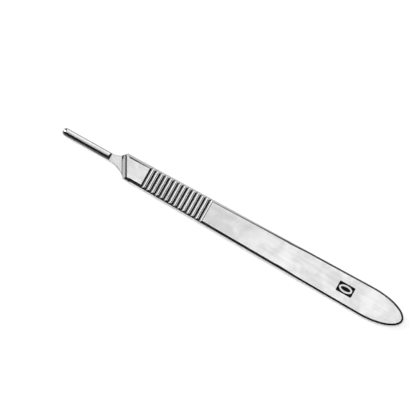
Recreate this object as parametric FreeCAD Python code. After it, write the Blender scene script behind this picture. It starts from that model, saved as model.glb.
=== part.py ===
import FreeCAD
import Part
import math
import os

# A flat, one-piece scalpel handle in stainless steel, of the small-blade pattern.
# It is modelled about its own mid-plane with its axis along X. X = 0 is where the
# stop wall for the blade's heel crosses the axis. -X points to the tang's tip, +X to
# the rounded butt, +Y to the side of the blade's back, and +Z out of the front, where
# the key stands. At the end the handle is laid down on its back face.
# All sizes are in millimetres.

# body in plan
body_length = 103.1  # from the stop wall to the end of the butt
front_width = 7.8
butt_width = 10.4
butt_round_length = 13.1  # half of the ellipse that ends the butt
shoulder_angle = 29.0  # the stop wall's lean from square
facet_width = 1.5  # how much of the stop wall the front corner's facet takes
facet_angle = 48.0  # between that facet and the axis
heel_corner_radius = 0.5

# body in thickness
front_thickness = 3.4
shank_thickness = 2.98  # at the end of the shank
spatula_thickness = 1.36  # at the start of the thin butt
butt_thickness = 1.2
thinning_start = 45.0  # from the end of the butt to the end of the shank
thinning_end = 17.0  # from the end of the butt to the start of the thin butt
bevel_width = 0.95  # the long bevels, at the shoulder
rim_bevel_width = 0.45  # the narrow bevel that follows the whole rim
bevel_angle = 35.0

# shoulder
stop_height = 0.6  # the upright wall that the blade's heel meets, from the mid-plane
shoulder_run = 1.12  # from the stop wall back to the front face
shoulder_radius = 0.9  # where the faces turn over into the shoulder
back_shoulder_angle = 45.0

# tang: a base plate with the neck, and the key on it with a groove along each side
base_width = 2.5
base_thickness = 1.0
tang_offset = 0.17  # towards the blade's back
neck_length = 4.5  # from the key to the stop wall, on the axis
neck_foot_inset = 0.35  # from the side of the body to where the neck meets the heel corner
neck_root = 2.0  # how far the neck plate runs into the body
key_length = 17.4
key_ledge = 0.26  # how far the base plate stands out past the key
groove_depth = 0.4
groove_height = 0.45  # a blade 0.4 thick, and its clearance
key_flange_height = 0.75
key_bevel_width = 0.85  # the two slopes leave a narrow flat between them
key_bevel_depth = 0.48
key_rear_run = 0.65  # the slope at the key's rear end

# finger grip
rib_count = 14
first_rib = 9.15  # from the stop wall to the middle of the first groove
rib_pitch = 1.638
rib_depth = 0.35
rib_radius = 0.22  # at the bottom of a groove
rib_lip_radius = 0.82  # where a groove rounds over into the face

# sunk panel with a raised oval ring
panel_from_end = 21.1  # to the middle of the panel
panel_length = 5.6
panel_width = 3.44
panel_depth = 0.25
panel_corner_radius = 0.3
panel_margin = 0.5
ring_stroke = 0.55

# working values: how far tools reach past the metal, and when two places count as one
reach = 5.0
touching = 0.05

# places that more than one feature uses
block_size = body_length + neck_length + key_length
lean = math.tan(math.radians(shoulder_angle))
butt_centre = body_length - butt_round_length
shank_end = body_length - thinning_start
spatula_start = body_length - thinning_end
facet_foot = front_width / 2 - facet_width
neck_foot = front_width / 2 - neck_foot_inset
key_width = base_width - 2 * key_ledge
key_top = groove_height + key_flange_height
key_rear = -neck_length
key_tip = key_rear - key_length
wedge_slope = (shank_thickness - front_thickness) / 2 / shank_end
spatula_slope = (butt_thickness - spatula_thickness) / 2 / thinning_end


def point(x, y, z=0.0):
    return FreeCAD.Vector(x, y, z)


def line(a, b):
    return Part.LineSegment(a, b).toShape()


def arc(a, middle, b):
    return Part.Arc(a, middle, b).toShape()


def prism(edges, direction):
    """The solid that a closed outline sweeps along a direction."""
    outline = Part.Wire(Part.__sortEdges__(edges))
    return Part.Face(outline).extrude(direction)


def beyond_plane(origin, normal):
    """A block that fills the side of a plane to which the normal points."""
    corner = point(-block_size, -block_size, 0)
    block = Part.makeBox(2 * block_size, 2 * block_size, block_size, corner)
    block.Placement = FreeCAD.Placement(origin, FreeCAD.Rotation(point(0, 0, 1), normal))
    return block


def tangent_arc(start, end):
    """An arc that leaves its start along X."""
    along, across = end.x - start.x, end.y - start.y
    radius = (along ** 2 + across ** 2) / (2 * across)
    half_turn = math.atan2(across, along)
    rise = radius * (1 - math.cos(half_turn))
    middle = start + point(radius * math.sin(half_turn), rise)
    return arc(start, middle, end)


def stop_wall(y, z=0.0):
    """The place on the stop wall's plane at one distance from the axis."""
    return point(-y * lean, y, z)


def butt_joint():
    """Where the straight side meets the butt's ellipse, as the ellipse's own angle."""
    a = -butt_centre / butt_round_length
    b = front_width / butt_width
    return math.atan2(b, a) - math.acos(1 / math.hypot(a, b))


side_end = point(
    butt_centre + butt_round_length * math.cos(butt_joint()),
    butt_width / 2 * math.sin(butt_joint()),
)
side_slope = (side_end.y - front_width / 2) / side_end.x
heel = stop_wall(-front_width / 2 / (1 - side_slope * lean))


def plan_solid():
    """The body's outline, taller than the body, with its rounded heel corner."""
    foot = stop_wall(facet_foot)
    slope = math.tan(math.radians(facet_angle))
    corner_x = (front_width / 2 - foot.y + slope * foot.x) / (slope - side_slope)
    corner = point(corner_x, front_width / 2 + side_slope * corner_x)
    low_end = point(side_end.x, -side_end.y)
    long_end = point(body_length, 0)
    wide_end = point(butt_centre, butt_width / 2)
    ellipse = Part.Ellipse(long_end, wide_end, point(butt_centre, 0))
    outline = [
        line(foot, corner),
        line(corner, side_end),
        Part.ArcOfEllipse(ellipse, -butt_joint(), butt_joint()).toShape(),
        line(low_end, heel),
        line(heel, foot),
    ]
    height = front_thickness + 2 * reach
    solid = prism(outline, point(0, 0, height))
    solid.translate(point(0, 0, -height / 2))
    upright = [e for e in solid.Edges if (e.CenterOfMass - heel).Length < touching]
    return solid.makeFillet(heel_corner_radius, upright)


def thinning_poles():
    """The four poles of the front face's curve from the shank down to the thin butt."""
    third = (spatula_start - shank_end) / 3
    shank = point(shank_end, 0, shank_thickness / 2)
    spatula = point(spatula_start, 0, spatula_thickness / 2)
    leaving = shank + point(third, 0, wedge_slope * third)
    arriving = spatula - point(third, 0, spatula_slope * third)
    return [shank, leaving, arriving, spatula]


def face_height(x):
    """Half the body's thickness at x."""
    if x <= shank_end:
        return front_thickness / 2 + wedge_slope * x
    if x >= spatula_start:
        return spatula_thickness / 2 + spatula_slope * (x - spatula_start)
    t = (x - shank_end) / (spatula_start - shank_end)
    shares = [(1 - t) ** 3, 3 * t * (1 - t) ** 2, 3 * t ** 2 * (1 - t), t ** 3]
    return sum(share * pole.z for share, pole in zip(shares, thinning_poles()))


def face_edges(side):
    """The side view's line along one face, from before the shoulder to past the butt."""
    front_x = -2 * reach
    back_x = body_length + reach
    poles = [point(p.x, 0, side * p.z) for p in thinning_poles()]
    curve = Part.BezierCurve()
    curve.setPoles(poles)
    front = point(front_x, 0, side * face_height(front_x))
    back = point(back_x, 0, side * face_height(back_x))
    return [line(front, poles[0]), curve.toShape(), line(poles[-1], back)]


def side_solid():
    """The body's side view, wider than the body: a slight wedge that thins to a spatula."""
    upper = face_edges(1)
    lower = face_edges(-1)
    front = line(lower[0].Vertexes[0].Point, upper[0].Vertexes[0].Point)
    back = line(upper[-1].Vertexes[-1].Point, lower[-1].Vertexes[-1].Point)
    solid = prism(upper + [back] + lower + [front], point(0, 2 * butt_width, 0))
    solid.translate(point(0, -butt_width, 0))
    return solid


def body_blank():
    """The body with the narrow bevel along its rim, before the long bevels."""
    blank = plan_solid().common(side_solid())
    shoulder_back = heel.x + heel_corner_radius
    rim = []
    for edge in blank.Edges:
        runs_along = edge.BoundBox.XLength > rim_bevel_width
        if runs_along and edge.BoundBox.Center.x > shoulder_back:
            rim.append(edge)
    rim_drop = rim_bevel_width * math.tan(math.radians(bevel_angle))
    return blank.makeChamfer(rim_drop, rim_bevel_width, rim)


def long_bevels():
    """The four blocks that cut the bevels along the long edges."""
    tilt = math.radians(bevel_angle)
    turn = math.atan(side_slope)
    drop = bevel_width * math.tan(tilt)
    blocks = []
    for side in (1, -1):
        for face in (1, -1):
            outward = point(-math.sin(turn), side * math.cos(turn))
            normal = outward * math.sin(tilt) + point(0, 0, face * math.cos(tilt))
            foot = point(0, side * front_width / 2, face * (front_thickness / 2 - drop))
            blocks.append(beyond_plane(foot, normal))
    return blocks


def shoulder_bevels():
    """The slopes at the shoulder: to the stop wall in front, to the base plate behind."""
    turn = math.radians(shoulder_angle)
    forward = point(-math.cos(turn), -math.sin(turn))
    front_drop = front_thickness / 2 - stop_height
    front_normal = forward * front_drop + point(0, 0, shoulder_run)
    back_tilt = math.radians(back_shoulder_angle)
    back_normal = forward * math.sin(back_tilt) - point(0, 0, math.cos(back_tilt))
    return [
        beyond_plane(stop_wall(0, stop_height), front_normal),
        beyond_plane(stop_wall(0, -base_thickness), back_normal),
    ]


def rib_profile():
    """The outline of one groove that rounds over into the face, which is at height 0."""
    centre_z = rib_radius - rib_depth
    lip_x = math.sqrt((rib_radius + rib_lip_radius) ** 2 - (centre_z + rib_lip_radius) ** 2)
    swing = math.atan2(lip_x, centre_z + rib_lip_radius)
    touch_x = rib_radius * math.sin(swing)
    touch_z = centre_z - rib_radius * math.cos(swing)
    turn_x = lip_x - rib_lip_radius * math.sin(swing / 2)
    turn_z = rib_lip_radius * (math.cos(swing / 2) - 1)
    return [
        arc(point(-lip_x, 0, 0), point(-turn_x, 0, turn_z), point(-touch_x, 0, touch_z)),
        arc(point(-touch_x, 0, touch_z), point(0, 0, -rib_depth), point(touch_x, 0, touch_z)),
        arc(point(touch_x, 0, touch_z), point(turn_x, 0, turn_z), point(lip_x, 0, 0)),
        line(point(lip_x, 0, 0), point(lip_x, 0, rib_depth)),
        line(point(lip_x, 0, rib_depth), point(-lip_x, 0, rib_depth)),
        line(point(-lip_x, 0, rib_depth), point(-lip_x, 0, 0)),
    ]


def rib_cutters():
    """The grooves of the finger grip, the same on both faces."""
    first = prism(rib_profile(), point(0, 2 * butt_width, 0))
    first.translate(point(0, -butt_width, 0))
    first.rotate(point(0, 0, 0), point(0, 1, 0), -math.degrees(math.atan(wedge_slope)))
    cutters = []
    for n in range(rib_count):
        x = first_rib + n * rib_pitch
        cutter = first.translated(point(x, 0, face_height(x)))
        cutters += [cutter, cutter.mirror(point(0, 0, 0), point(0, 0, 1))]
    return cutters


def oval(length, width, height):
    """An upright prism on an ellipse about the origin."""
    ellipse = Part.Ellipse(point(length / 2, 0), point(0, width / 2), point(0, 0))
    return Part.Face(Part.Wire(ellipse.toShape())).extrude(point(0, 0, height))


def panel_cutter():
    """The sunk panel on the front of the butt, less the ring left standing in it."""
    height = panel_depth + reach
    corner = point(-panel_length / 2, -panel_width / 2, 0)
    block = Part.makeBox(panel_length, panel_width, height, corner)
    uprights = [e for e in block.Edges if e.BoundBox.ZLength > height / 2]
    block = block.makeFillet(panel_corner_radius, uprights)
    length = panel_length - 2 * panel_margin
    width = panel_width - 2 * panel_margin
    hole = oval(length - 2 * ring_stroke, width - 2 * ring_stroke, height)
    cutter = block.cut(oval(length, width, height).cut(hole))
    x = body_length - panel_from_end
    fall = face_height(x - panel_length / 2) - face_height(x + panel_length / 2)
    cutter.rotate(point(0, 0, 0), point(0, 1, 0), math.degrees(math.atan(fall / panel_length)))
    cutter.translate(point(x, 0, face_height(x) - panel_depth))
    return cutter


def shoulder_tops(shape):
    """The edges where the front and back faces meet the shoulder's slopes."""
    along_wall = (stop_wall(1) - stop_wall(0)).normalize()
    tops = []
    for edge in shape.Edges:
        middle = edge.CenterOfMass
        at_face = abs(middle.z) > face_height(middle.x) - touching
        if at_face and isinstance(edge.Curve, Part.Line):
            if edge.Curve.Direction.cross(along_wall).Length < touching:
                tops.append(edge)
    return tops


def body():
    bevelled = body_blank().cut(long_bevels() + shoulder_bevels())
    rounded = bevelled.makeFillet(shoulder_radius, shoulder_tops(bevelled))
    return rounded.cut(rib_cutters() + [panel_cutter()])


def bar_outline(width, z):
    """The outline of a bar as long as the key, with a half-round tip."""
    half = width / 2
    centre_x = key_tip + base_width / 2
    upper = point(centre_x, tang_offset + half, z)
    lower = point(centre_x, tang_offset - half, z)
    upper_rear = point(key_rear, tang_offset + half, z)
    lower_rear = point(key_rear, tang_offset - half, z)
    outline = [
        line(upper, upper_rear),
        line(upper_rear, lower_rear),
        line(lower_rear, lower),
        arc(lower, point(centre_x - half, tang_offset, z), upper),
    ]
    return Part.Wire(outline)


def bar(width, low, high):
    return Part.Face(bar_outline(width, low)).extrude(point(0, 0, high - low))


def base_plate():
    """The tang's lower plate, and the neck that widens from it into the shoulder."""
    low = -base_thickness
    upper = point(key_rear, tang_offset + base_width / 2, low)
    lower = point(key_rear, tang_offset - base_width / 2, low)
    upper_foot = stop_wall(facet_foot, low)
    lower_foot = stop_wall(-neck_foot, low)
    root = point(neck_root, 0)
    outline = [
        tangent_arc(upper, upper_foot),
        line(upper_foot, upper_foot + root),
        line(upper_foot + root, lower_foot + root),
        line(lower_foot + root, lower_foot),
        tangent_arc(lower, lower_foot),
        line(lower, upper),
    ]
    return bar(base_width, low, 0).fuse(prism(outline, point(0, 0, base_thickness)))


def key():
    """The rail that holds the blade: a narrow web under a wider, bevelled flange."""
    bevel_foot = key_top - key_bevel_depth
    web = bar(key_width - 2 * groove_depth, 0, groove_height)
    flange = bar(key_width, groove_height, bevel_foot)
    foot = bar_outline(key_width, bevel_foot)
    top = bar_outline(key_width - 2 * key_bevel_width, key_top)
    bevelled = Part.makeLoft([foot, top], True, True)
    rear_slope = beyond_plane(point(key_rear, 0), point(key_top, 0, key_rear_run))
    return web.fuse([flange, bevelled]).cut(rear_slope)


def handle():
    return body().fuse([base_plate(), key()]).removeSplitter()


def laid_down(shape):
    """Rests the back face on Z = 0, with the origin under the middle of the box."""
    laid = shape.copy()
    laid.rotate(point(0, 0, 0), point(0, 1, 0), -math.degrees(math.atan(wedge_slope)))
    box = laid.optimalBoundingBox(False)
    laid.translate(point(-box.Center.x, -box.Center.y, -box.ZMin))
    return laid


os.makedirs("parts", exist_ok=True)
scalpel_handle = laid_down(handle())
scalpel_handle.exportStep("parts/scalpel_handle.step")
box = scalpel_handle.optimalBoundingBox(False)
print("solids", len(scalpel_handle.Solids), "valid", scalpel_handle.isValid())
print("length", round(box.XLength, 3), "width", round(box.YLength, 3))
print("height", round(box.ZLength, 3), "volume", round(scalpel_handle.Volume, 1))
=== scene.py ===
import math

import bmesh
import bpy
from mathutils import Matrix, Vector


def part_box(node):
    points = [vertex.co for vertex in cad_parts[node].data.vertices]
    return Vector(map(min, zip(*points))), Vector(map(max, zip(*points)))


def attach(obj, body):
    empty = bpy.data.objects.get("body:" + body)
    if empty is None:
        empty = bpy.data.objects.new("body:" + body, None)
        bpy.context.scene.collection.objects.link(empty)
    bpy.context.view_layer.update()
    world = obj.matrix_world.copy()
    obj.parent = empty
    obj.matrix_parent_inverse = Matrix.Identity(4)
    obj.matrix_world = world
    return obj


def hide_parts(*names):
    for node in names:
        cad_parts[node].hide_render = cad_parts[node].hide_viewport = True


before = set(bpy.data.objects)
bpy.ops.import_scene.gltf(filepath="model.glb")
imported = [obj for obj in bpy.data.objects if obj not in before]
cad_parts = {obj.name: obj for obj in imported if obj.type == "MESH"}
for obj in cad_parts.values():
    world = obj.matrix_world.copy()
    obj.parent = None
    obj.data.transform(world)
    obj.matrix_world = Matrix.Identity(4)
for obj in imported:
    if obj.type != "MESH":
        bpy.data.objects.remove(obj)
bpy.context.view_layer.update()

mm = 0.001

# the camera, from how the handle lies in the picture
picture_px = 416
px_per_mm = 3.12
handle_middle_px = (232.85, 226.0)
handle_slant = math.radians(29.3)
camera_lean = math.radians(3.0)  # from straight above, towards the cutting side
lens_mm = 400.0
sensor_mm = 36.0
nearest_seen = 0.01

# the floor and the room, whose lights and cards each lie toward a direction; full and none are
# the distances from it at which they are whole and gone
floor_half = 15.0
floor_white = 0.88
floor_lift = 0.08  # the paler look of the floor, as light of its own
room_level = 0.08
overhead_light = dict(toward=(0.1, 0.05, 1), squeeze=(3, 2, 1), full=0.36, none=0.5, level=1.97)
window = dict(toward=(-0.915, 0.15, 0.375), squeeze=(1, 2.5, 1), full=0.47, none=0.66, level=4.6)
pale_corner = dict(toward=(-0.87, -0.49, 0), squeeze=(1, 1, 1), full=0.1, none=0.25, level=0.12)
far_side = dict(toward=(0, 0.876, 0.482), squeeze=(0.4, 1, 1), full=0.06, none=0.13, level=1.25)
far_foot = dict(toward=(0, 0.956, 0.292), squeeze=(0.4, 1, 1), full=0.08, none=0.15, level=0.55)
near_card = dict(toward=(0, -0.87, 0.5), squeeze=(0.6, 1, 1), full=0.55, none=0.9, level=-0.06)
right_card = dict(toward=(0.82, 0, 0.57), squeeze=(1, 1, 1), full=0.55, none=1.0, level=-0.06)
low_wall = dict(toward=(0, 0, -1), squeeze=(0, 0, 1), full=1.2, none=1.33, level=0.5)
low_card = dict(toward=(1, 0, 0.1), squeeze=(1, 2, 1), full=0.3, none=0.5, level=-0.5)
room_patches = [overhead_light, window, pale_corner, far_side, far_foot, near_card, right_card,
                low_wall, low_card]

# the mesh: edges sharper than crisp_angle stay crisp, and those that stand out are broken
crisp_angle = math.radians(24.0)
weld_distance = 0.001 * mm
cut_tolerance = 0.002 * mm
flat_angle = math.radians(0.1)
plate_break = 0.15 * mm  # along the neck
bevel_top_break = 0.32 * mm  # where the faces meet the long bevels
body_break = 0.13 * mm
key_break = 0.05 * mm
break_strips = 3
large_face_share = 95  # how far the large faces lead the shading
polish_tilt = math.cos(math.radians(18.0))  # faces that lean more than 18 degrees are polished
facing_up = 0.9  # in height, of a normal

# the grip's grooves, as they are cut
rib_count = 14
first_rib = -31.445 * mm
rib_pitch = 1.638 * mm
rib_depth = 0.35 * mm
rib_radius = 0.22 * mm
rib_lip_radius = 0.82 * mm
bevel_slope = math.tan(math.radians(35.0))
lip_turn = math.radians(6.0)  # the turn from one strip of the lip to the next
bottom_turn = math.radians(9.0)
front_height = 3.402 * mm  # at front_start
front_start = -40.94 * mm
front_fall = -0.0072  # rise for each step towards the butt
groove_reach = 0.03 * mm  # points farther from the curve than this belong to another surface
groove_side_tilt = 0.3  # across the handle, of the grooves' faces at most
groove_flat = 0.9999  # in height, of the faces between the grooves
bevel_side_tilt = 0.4  # across the handle, of the long bevels at least

# stretches and heights of the handle, for its finishes
key_end = -45.0 * mm
plate_bottom = 0.6 * mm
plate_top = 1.9 * mm
ledge_drop = 0.2 * mm  # from the handle's half height to below the plate's top
wall_x = -40.6 * mm  # where the stop wall crosses the middle
wall_lean = math.radians(29.0)
shoulder_reach = 2.4 * mm  # from the stop wall to behind the shoulder's rounding
foot_width = 0.22 * mm  # the strip along the stop wall that is painted dark, as the shade in its corner
foot_overlap = 0.1 * mm
grip_start = -32.3 * mm
grip_end = -9.3 * mm
groove_tilt = 0.02  # along the handle, of the grooves' faces at least
panel_start = 38.6 * mm
panel_end = 44.2 * mm
panel_half_width = 1.72 * mm
panel_floor_top = 1.98 * mm  # at panel_start
panel_floor_fall = 0.026
panel_floor_bottom = 1.0 * mm
panel_side_margin = 0.2 * mm
panel_end_margin = 1.0 * mm

# the finishes, by their slots in the mesh
ground, milled_and_shaded, polished, blackened, buffed_and_highlit, painted_ledge_shade = range(6)
clouds_per_metre = 170.0
cloud_share = 0.5  # of the clouds in the tone and gloss; the streaks have the rest

handle_low, handle_high = (Vector(corner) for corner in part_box("scalpel_handle"))
handle_middle = (handle_low + handle_high) / 2


# shader helpers

def new_node(tree, kind, place, **settings):
    node = tree.nodes.new(kind)
    node.location = place
    for name, value in settings.items():
        setattr(node, name, value)
    return node


def set_inputs(node, **values):
    for name, value in values.items():
        node.inputs[name.replace("_", " ")].default_value = value
    return node


# the floor, the light and the camera

def floor_material():
    """A white table, a little paler to the camera and in reflections than its light makes it."""
    material = bpy.data.materials.new("white_table")
    material.use_nodes = True
    tree = material.node_tree
    tree.nodes.clear()
    out = new_node(tree, "ShaderNodeOutputMaterial", (900, 0))
    path = new_node(tree, "ShaderNodeLightPath", (-400, 200))
    seen = new_node(tree, "ShaderNodeMath", (-200, 200), operation="MAXIMUM")
    lift = new_node(tree, "ShaderNodeMath", (0, 200), operation="MULTIPLY")
    lift.inputs[1].default_value = floor_lift
    table = new_node(tree, "ShaderNodeBsdfDiffuse", (0, -100))
    table.inputs["Color"].default_value = (floor_white, floor_white, floor_white, 1)
    glow = new_node(tree, "ShaderNodeEmission", (200, 100))
    both = new_node(tree, "ShaderNodeAddShader", (500, 0))
    tree.links.new(path.outputs["Is Camera Ray"], seen.inputs[0])
    tree.links.new(path.outputs["Is Glossy Ray"], seen.inputs[1])
    tree.links.new(seen.outputs[0], lift.inputs[0])
    tree.links.new(lift.outputs[0], glow.inputs["Strength"])
    tree.links.new(table.outputs[0], both.inputs[0])
    tree.links.new(glow.outputs[0], both.inputs[1])
    tree.links.new(both.outputs[0], out.inputs["Surface"])
    return material


def make_floor():
    mesh = bpy.data.meshes.new("table")
    shape = bmesh.new()
    bmesh.ops.create_grid(shape, x_segments=1, y_segments=1, size=floor_half)
    shape.to_mesh(mesh)
    shape.free()
    table = bpy.data.objects.new("table", mesh)
    table.data.materials.append(floor_material())
    bpy.context.scene.collection.objects.link(table)


def soft_box(tree, direction, toward, squeeze, full, none, level):
    """Brightness that is full near one direction and fades out; squeeze narrows it on an axis."""
    apart = new_node(tree, "ShaderNodeVectorMath", (-400, 0), operation="SUBTRACT")
    apart.inputs[1].default_value = Vector(toward).normalized()
    narrowed = new_node(tree, "ShaderNodeVectorMath", (-200, 0), operation="MULTIPLY")
    narrowed.inputs[1].default_value = squeeze
    away = new_node(tree, "ShaderNodeVectorMath", (0, 0), operation="LENGTH")
    ramp = new_node(tree, "ShaderNodeMapRange", (200, 0), interpolation_type="SMOOTHSTEP")
    set_inputs(ramp, From_Min=full, From_Max=none, To_Min=level, To_Max=0.0)
    tree.links.new(direction, apart.inputs[0])
    tree.links.new(apart.outputs["Vector"], narrowed.inputs[0])
    tree.links.new(narrowed.outputs["Vector"], away.inputs[0])
    tree.links.new(away.outputs["Value"], ramp.inputs["Value"])
    return ramp.outputs["Result"]


def make_world():
    """A plain room with light overhead, a window on the left, pale walls and dark cards."""
    world = bpy.data.worlds.new("room")
    world.use_nodes = True
    tree = world.node_tree
    tree.nodes.clear()
    out = new_node(tree, "ShaderNodeOutputWorld", (1200, 0))
    light = new_node(tree, "ShaderNodeBackground", (1000, 0))
    coordinates = new_node(tree, "ShaderNodeTexCoord", (-700, 0))
    direction = coordinates.outputs["Generated"]
    total = None
    for patch in room_patches:
        step = new_node(tree, "ShaderNodeMath", (600, 0), operation="ADD")
        tree.links.new(soft_box(tree, direction, **patch), step.inputs[0])
        if total is None:
            step.inputs[1].default_value = room_level
        else:
            tree.links.new(total, step.inputs[1])
        total = step.outputs["Value"]
    path = new_node(tree, "ShaderNodeLightPath", (600, 300))
    shown = new_node(tree, "ShaderNodeMath", (800, 0), operation="MAXIMUM")
    tree.links.new(path.outputs["Is Camera Ray"], shown.inputs[0])
    tree.links.new(total, shown.inputs[1])
    tree.links.new(shown.outputs["Value"], light.inputs["Strength"])
    tree.links.new(light.outputs[0], out.inputs["Surface"])
    bpy.context.scene.world = world


def make_lamp(name, direction, distance, size, power):
    data = bpy.data.lights.new(name, "AREA")
    data.shape = "DISK"
    data.size = size
    data.energy = power
    lamp = bpy.data.objects.new(name, data)
    away = Vector(direction).normalized()
    lamp.location = handle_middle + away * distance
    lamp.rotation_euler = away.to_track_quat("Z", "Y").to_euler()
    lamp.visible_glossy = False
    bpy.context.scene.collection.objects.link(lamp)


def make_camera():
    """Looks down on the handle, with the picture's slant and framing."""
    data = bpy.data.cameras.new("camera")
    data.sensor_width = sensor_mm
    data.lens = lens_mm
    data.clip_start = nearest_seen
    camera = bpy.data.objects.new("camera", data)
    bpy.context.scene.collection.objects.link(camera)
    up_the_table = Vector((0, math.cos(camera_lean), math.sin(camera_lean)))
    along = Vector((1, 0, 0))
    right = along * math.cos(handle_slant) + up_the_table * math.sin(handle_slant)
    up = up_the_table * math.cos(handle_slant) - along * math.sin(handle_slant)
    back = right.cross(up)
    offset_right = (handle_middle_px[0] - picture_px / 2) / px_per_mm * mm
    offset_down = (handle_middle_px[1] - picture_px / 2) / px_per_mm * mm
    target = handle_middle - right * offset_right + up * offset_down
    distance = picture_px / px_per_mm * mm * lens_mm / sensor_mm
    camera.location = target + back * distance
    camera.rotation_mode = "QUATERNION"
    camera.rotation_quaternion = Matrix((right, up, back)).transposed().to_quaternion()
    bpy.context.scene.camera = camera


# the handle's finishes

def group_of(name, inputs, outputs):
    tree = bpy.data.node_groups.new(name, "ShaderNodeTree")
    for socket, kind in inputs:
        tree.interface.new_socket(socket, in_out="INPUT", socket_type=kind)
    for socket, kind in outputs:
        tree.interface.new_socket(socket, in_out="OUTPUT", socket_type=kind)
    inside = new_node(tree, "NodeGroupInput", (-800, 0))
    outside = new_node(tree, "NodeGroupOutput", (800, 0))
    return tree, inside, outside


def stretched_noise(tree, position, stretch, place, detail):
    """Noise whose scale differs along each axis, with the scales given by a socket."""
    squeeze = new_node(tree, "ShaderNodeVectorMath", place, operation="MULTIPLY")
    noise = new_node(tree, "ShaderNodeTexNoise", (place[0] + 200, place[1]))
    set_inputs(noise, Scale=1.0, Detail=detail, Roughness=0.6)
    tree.links.new(position, squeeze.inputs[0])
    tree.links.new(stretch, squeeze.inputs[1])
    tree.links.new(squeeze.outputs["Vector"], noise.inputs["Vector"])
    return noise.outputs["Fac"]


def grain_group():
    """Lines left by grinding: fine ones for the bump, and broader streaks for the tone."""
    tree, inside, outside = group_of(
        "grinding_grain",
        [("Position", "NodeSocketVector"), ("Lines per Metre", "NodeSocketVector"),
         ("Streaks per Metre", "NodeSocketVector")],
        [("Lines", "NodeSocketFloat"), ("Streaks", "NodeSocketFloat")],
    )
    position = inside.outputs["Position"]
    lines = stretched_noise(tree, position, inside.outputs["Lines per Metre"], (-500, 200), 3.0)
    streak_scale = inside.outputs["Streaks per Metre"]
    streaks = stretched_noise(tree, position, streak_scale, (-500, -200), 2.0)
    tree.links.new(lines, outside.inputs["Lines"])
    tree.links.new(streaks, outside.inputs["Streaks"])
    return tree


def cloud_group():
    """Soft cloudy patches, as handling and wiping leave on satin steel."""
    tree, inside, outside = group_of(
        "wiped_clouds",
        [("Position", "NodeSocketVector"), ("Clouds per Metre", "NodeSocketFloat")],
        [("Clouds", "NodeSocketFloat")],
    )
    noise = new_node(tree, "ShaderNodeTexNoise", (-300, 0))
    set_inputs(noise, Detail=4.0, Roughness=0.55, Distortion=0.4)
    soft = new_node(tree, "ShaderNodeMapRange", (0, 0), interpolation_type="SMOOTHSTEP")
    set_inputs(soft, From_Min=0.3, From_Max=0.7)
    tree.links.new(inside.outputs["Position"], noise.inputs["Vector"])
    tree.links.new(inside.outputs["Clouds per Metre"], noise.inputs["Scale"])
    tree.links.new(noise.outputs["Fac"], soft.inputs["Value"])
    tree.links.new(soft.outputs["Result"], outside.inputs["Clouds"])
    return tree


grain = grain_group()
clouds = cloud_group()


def mapped(tree, value, low, high, place):
    ramp = new_node(tree, "ShaderNodeMapRange", place)
    set_inputs(ramp, To_Min=low, To_Max=high)
    tree.links.new(value, ramp.inputs["Value"])
    return ramp.outputs["Result"]


def steel_material(name, tone, roughness, lines, streaks, line_depth):
    """Steel whose tone and gloss vary with its clouds and streaks, and whose bump is its grain."""
    material = bpy.data.materials.new(name)
    material.use_nodes = True
    tree = material.node_tree
    steel = tree.nodes["Principled BSDF"]
    set_inputs(steel, Metallic=1.0)
    place = new_node(tree, "ShaderNodeTexCoord", (-1200, 0))
    grained = new_node(tree, "ShaderNodeGroup", (-1000, 200), node_tree=grain)
    grained.inputs["Lines per Metre"].default_value = lines
    grained.inputs["Streaks per Metre"].default_value = streaks
    wiped = new_node(tree, "ShaderNodeGroup", (-1000, -200), node_tree=clouds)
    wiped.inputs["Clouds per Metre"].default_value = clouds_per_metre
    tree.links.new(place.outputs["Object"], grained.inputs["Position"])
    tree.links.new(place.outputs["Object"], wiped.inputs["Position"])
    both = new_node(tree, "ShaderNodeMix", (-700, 0), data_type="FLOAT")
    both.inputs["Factor"].default_value = cloud_share
    tree.links.new(grained.outputs["Streaks"], both.inputs["A"])
    tree.links.new(wiped.outputs["Clouds"], both.inputs["B"])
    mixed = both.outputs["Result"]
    colour = new_node(tree, "ShaderNodeMix", (-300, 200), data_type="RGBA")
    colour.inputs["A"].default_value = (*tone[0], 1)
    colour.inputs["B"].default_value = (*tone[1], 1)
    tree.links.new(mixed, colour.inputs["Factor"])
    tree.links.new(colour.outputs["Result"], steel.inputs["Base Color"])
    gloss = mapped(tree, mixed, roughness[1], roughness[0], (-300, 0))
    tree.links.new(gloss, steel.inputs["Roughness"])
    relief = new_node(tree, "ShaderNodeBump", (-300, -200))
    set_inputs(relief, Strength=1.0, Distance=line_depth)
    tree.links.new(grained.outputs["Lines"], relief.inputs["Height"])
    tree.links.new(relief.outputs["Normal"], steel.inputs["Normal"])
    return material


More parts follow.
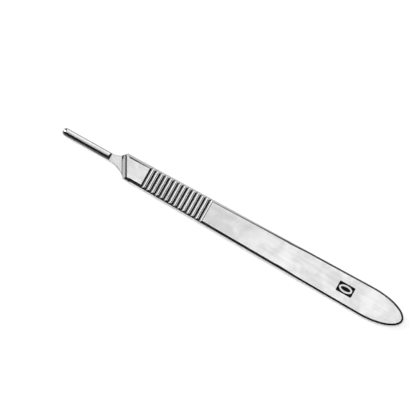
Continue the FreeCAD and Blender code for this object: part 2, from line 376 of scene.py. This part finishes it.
def finishes():
    """The finishes in the order of the mesh's material slots."""
    return [
        steel_material(
            "ground_steel", tone=((0.68, 0.68, 0.685), (0.83, 0.83, 0.83)), roughness=(0.22, 0.28),
            lines=(110, 6000, 6000), streaks=(35, 1100, 1100), line_depth=1.2e-6),
        # the grip's groove faces: milled gloss and grain, with a darker tone that is painted shade
        # in the grooves
        steel_material(
            "milled_grip_painted_shade", tone=((0.27, 0.27, 0.275), (0.39, 0.39, 0.39)), roughness=(0.1, 0.16),
            lines=(6000, 160, 6000), streaks=(900, 60, 900), line_depth=0.8e-6),
        steel_material(
            "polished_edge", tone=((0.8, 0.8, 0.8), (0.86, 0.86, 0.86)), roughness=(0.1, 0.18),
            lines=(200, 3000, 3000), streaks=(60, 600, 600), line_depth=0.4e-6),
        steel_material(
            "blackened_recess", tone=((0.02, 0.02, 0.022), (0.07, 0.07, 0.075)),
            roughness=(0.4, 0.6),
            lines=(4000, 4000, 4000), streaks=(1500, 1500, 1500), line_depth=3e-6),
        # the front face ahead of the grip: buffed gloss, with a paler tone that is a painted
        # highlight
        steel_material(
            "buffed_front_painted_highlight", tone=((0.73, 0.73, 0.735), (0.86, 0.86, 0.86)), roughness=(0.2, 0.26),
            lines=(110, 6000, 6000), streaks=(35, 1100, 1100), line_depth=0.8e-6),
        # the ledges beside the key and the strip at the stop wall's foot: a dark tone that is
        # painted shade
        steel_material(
            "ledge_and_foot_painted_shade", tone=((0.06, 0.06, 0.063), (0.12, 0.12, 0.12)),
            roughness=(0.35, 0.5),
            lines=(3000, 3000, 3000), streaks=(800, 800, 800), line_depth=1.5e-6),
    ]


def from_wall(place):
    """How far behind the stop wall a place is, square to the wall."""
    return (place.x - wall_x) * math.cos(wall_lean) + place.y * math.sin(wall_lean)


def behind_rounding(edge):
    """Whether an edge parts the flat front from the strip beside the shoulder's rounding."""
    return all(abs(from_wall(vert.co) - shoulder_reach) < weld_distance for vert in edge.verts)


def finish_of(face):
    """Which finish a face takes, from where it is."""
    place = face.calc_center_median()
    upward = face.normal.z > facing_up
    in_panel = panel_start < place.x < panel_end and abs(place.y) < panel_half_width
    floor_top = panel_floor_top - panel_floor_fall * (place.x - panel_start)
    if in_panel and upward and panel_floor_bottom < place.z < floor_top:
        return blackened
    # the grip's groove faces take the darker tone, painted as the shade in the grooves
    if grip_start < place.x < grip_end and abs(face.normal.x) > groove_tilt:
        return milled_and_shaded
    # the plate's ledges beyond the key and the strip at the stop wall's foot are painted dark, as
    # the shade beside the key and in the wall's corner
    on_plate = upward and handle_middle.z - ledge_drop < place.z < plate_top
    at_foot = -foot_width < from_wall(place) < foot_overlap
    if on_plate and (place.x < key_end or at_foot):
        return painted_ledge_shade
    if abs(face.normal.z) < polish_tilt and not in_panel:
        return polished
    # the front face ahead of the grip is painted paler, as a highlight
    return buffed_and_highlit if place.x < grip_start else ground


def edge_break(edge):
    """How far an edge is broken: not at all where it is shallow or looks inwards."""
    if edge.calc_face_angle(0.0) < crisp_angle or not edge.is_convex:
        return 0.0
    place = (edge.verts[0].co + edge.verts[1].co) / 2
    if grip_start < place.x < grip_end:
        return 0.0
    beside_panel = abs(place.y) < panel_half_width + panel_side_margin
    if panel_start - panel_end_margin < place.x < panel_end + panel_end_margin and beside_panel:
        return 0.0
    if from_wall(place) > shoulder_reach:
        at_face = max(abs(face.normal.z) for face in edge.link_faces) > polish_tilt
        return bevel_top_break if at_face else body_break
    if plate_bottom < place.z < plate_top:
        return plate_break if place.x > key_end else key_break
    return key_break if place.x < key_end else 0.0


def groove_arcs():
    """Where a groove's lip starts, where it meets the round bottom, and how steep it is there."""
    centre_z = rib_radius - rib_depth
    lip_x = math.sqrt((rib_radius + rib_lip_radius) ** 2 - (centre_z + rib_lip_radius) ** 2)
    swing = math.atan2(lip_x, centre_z + rib_lip_radius)
    return lip_x, rib_radius * math.sin(swing), swing


def groove_drop(off_centre):
    """How far below the face the groove's surface is, at a distance from its middle."""
    lip_x, touch_x, _ = groove_arcs()
    away = abs(off_centre)
    if away >= lip_x:
        return 0.0
    if away < touch_x:
        return rib_depth - rib_radius + math.sqrt(rib_radius ** 2 - away ** 2)
    return rib_lip_radius - math.sqrt(rib_lip_radius ** 2 - (lip_x - away) ** 2)


def groove_cuts():
    """Distances from a groove's middle at which its surface is cut finer, by equal turns."""
    lip_x, touch_x, swing = groove_arcs()
    bottom_turns = [bottom_turn * n for n in range(1, int(swing / bottom_turn) + 1)]
    lip_turns = [lip_turn * n for n in range(1, int(swing / lip_turn) + 1)]
    cuts = [0.0, touch_x]
    cuts += [rib_radius * math.sin(turn) for turn in bottom_turns]
    cuts += [lip_x - rib_lip_radius * math.sin(turn) for turn in lip_turns]
    return sorted(set(cuts + [-cut for cut in cuts]))


def round_the_grooves(shape):
    """Cuts each groove's surface into narrow strips and brings them onto its true curve."""
    lip_x, _, _ = groove_arcs()
    for n in range(rib_count):
        middle = first_rib + n * rib_pitch
        own = []
        for face in shape.faces:
            beside = abs(face.calc_center_median().x - middle) < lip_x
            crosswise = abs(face.normal.y) < groove_side_tilt and abs(face.normal.z) < groove_flat
            if beside and crosswise:
                own.append(face)
        geom = set(own)
        for face in own:
            geom.update(face.edges)
            geom.update(face.verts)
        for cut in groove_cuts():
            done = bmesh.ops.bisect_plane(
                shape, geom=list(geom), dist=cut_tolerance,
                plane_co=(middle + cut, 0, 0), plane_no=(1, 0, 0),
            )
            geom = set(done["geom"])
        touched = set()
        for face in [part for part in geom if isinstance(part, bmesh.types.BMFace)]:
            touched.update(face.verts)
        for vert in touched:
            bring_to_curve(vert, middle)


def bring_to_curve(vert, middle):
    """Moves a point of a groove's surface onto the curve, and along the bevel if it is on it."""
    front = vert.co.z > handle_middle.z
    level = (front_height + front_fall * (vert.co.x - front_start)) if front else 0.0
    drop = groove_drop(vert.co.x - middle)
    wanted = level - drop if front else drop
    rise = wanted - vert.co.z
    if abs(rise) > groove_reach:
        return
    vert.co.z = wanted
    on_bevel = any(abs(face.normal.y) > bevel_side_tilt for face in vert.link_faces)
    if on_bevel:
        outward = math.copysign(1.0, vert.co.y)
        vert.co.y += outward * (-rise if front else rise) / bevel_slope


def make_handle():
    """The handle's own metal, welded, with its outward edges broken and polished."""
    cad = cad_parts["scalpel_handle"]
    shape = bmesh.new()
    shape.from_mesh(cad.data)
    bmesh.ops.remove_doubles(shape, verts=shape.verts, dist=weld_distance)
    bmesh.ops.dissolve_limit(shape, angle_limit=flat_angle, verts=shape.verts, edges=shape.edges)
    shape.normal_update()
    round_the_grooves(shape)
    backward = (math.cos(wall_lean), math.sin(wall_lean), 0)
    behind = Vector((wall_x, 0, 0)) + Vector(backward) * shoulder_reach
    foot = Vector((wall_x, 0, 0)) - Vector(backward) * foot_width
    for origin, normal in [(behind, backward), (foot, backward), ((key_end, 0, 0), (1, 0, 0))]:
        bmesh.ops.bisect_plane(
            shape, geom=shape.verts[:] + shape.edges[:] + shape.faces[:], dist=cut_tolerance,
            plane_co=origin, plane_no=normal,
        )
    shape.normal_update()
    weight = shape.edges.layers.float.new("bevel_weight_edge")
    for edge in shape.edges:
        edge.smooth = edge.calc_face_angle(0.0) < crisp_angle and not behind_rounding(edge)
        edge[weight] = edge_break(edge) / bevel_top_break
    for face in shape.faces:
        face.smooth = True
        face.material_index = finish_of(face)
    mesh = bpy.data.meshes.new("steel_handle")
    shape.to_mesh(mesh)
    shape.free()
    for material in finishes():
        mesh.materials.append(material)
    handle = bpy.data.objects.new("steel_handle", mesh)
    bpy.context.scene.collection.objects.link(handle)
    broken = handle.modifiers.new("broken_edges", "BEVEL")
    broken.width = bevel_top_break
    broken.segments = break_strips
    broken.limit_method = "WEIGHT"
    broken.use_clamp_overlap = False
    broken.material = polished
    weighted = handle.modifiers.new("even_normals", "WEIGHTED_NORMAL")
    weighted.keep_sharp = True
    weighted.weight = large_face_share
    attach(handle, "root")
    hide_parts("scalpel_handle")


make_floor()
make_world()
make_lamp("key_light", direction=(-0.05, 0.05, 1.0), distance=1.2, size=0.45, power=11.9)
make_camera()
make_handle()

bpy.context.scene.view_settings.view_transform = "Standard"
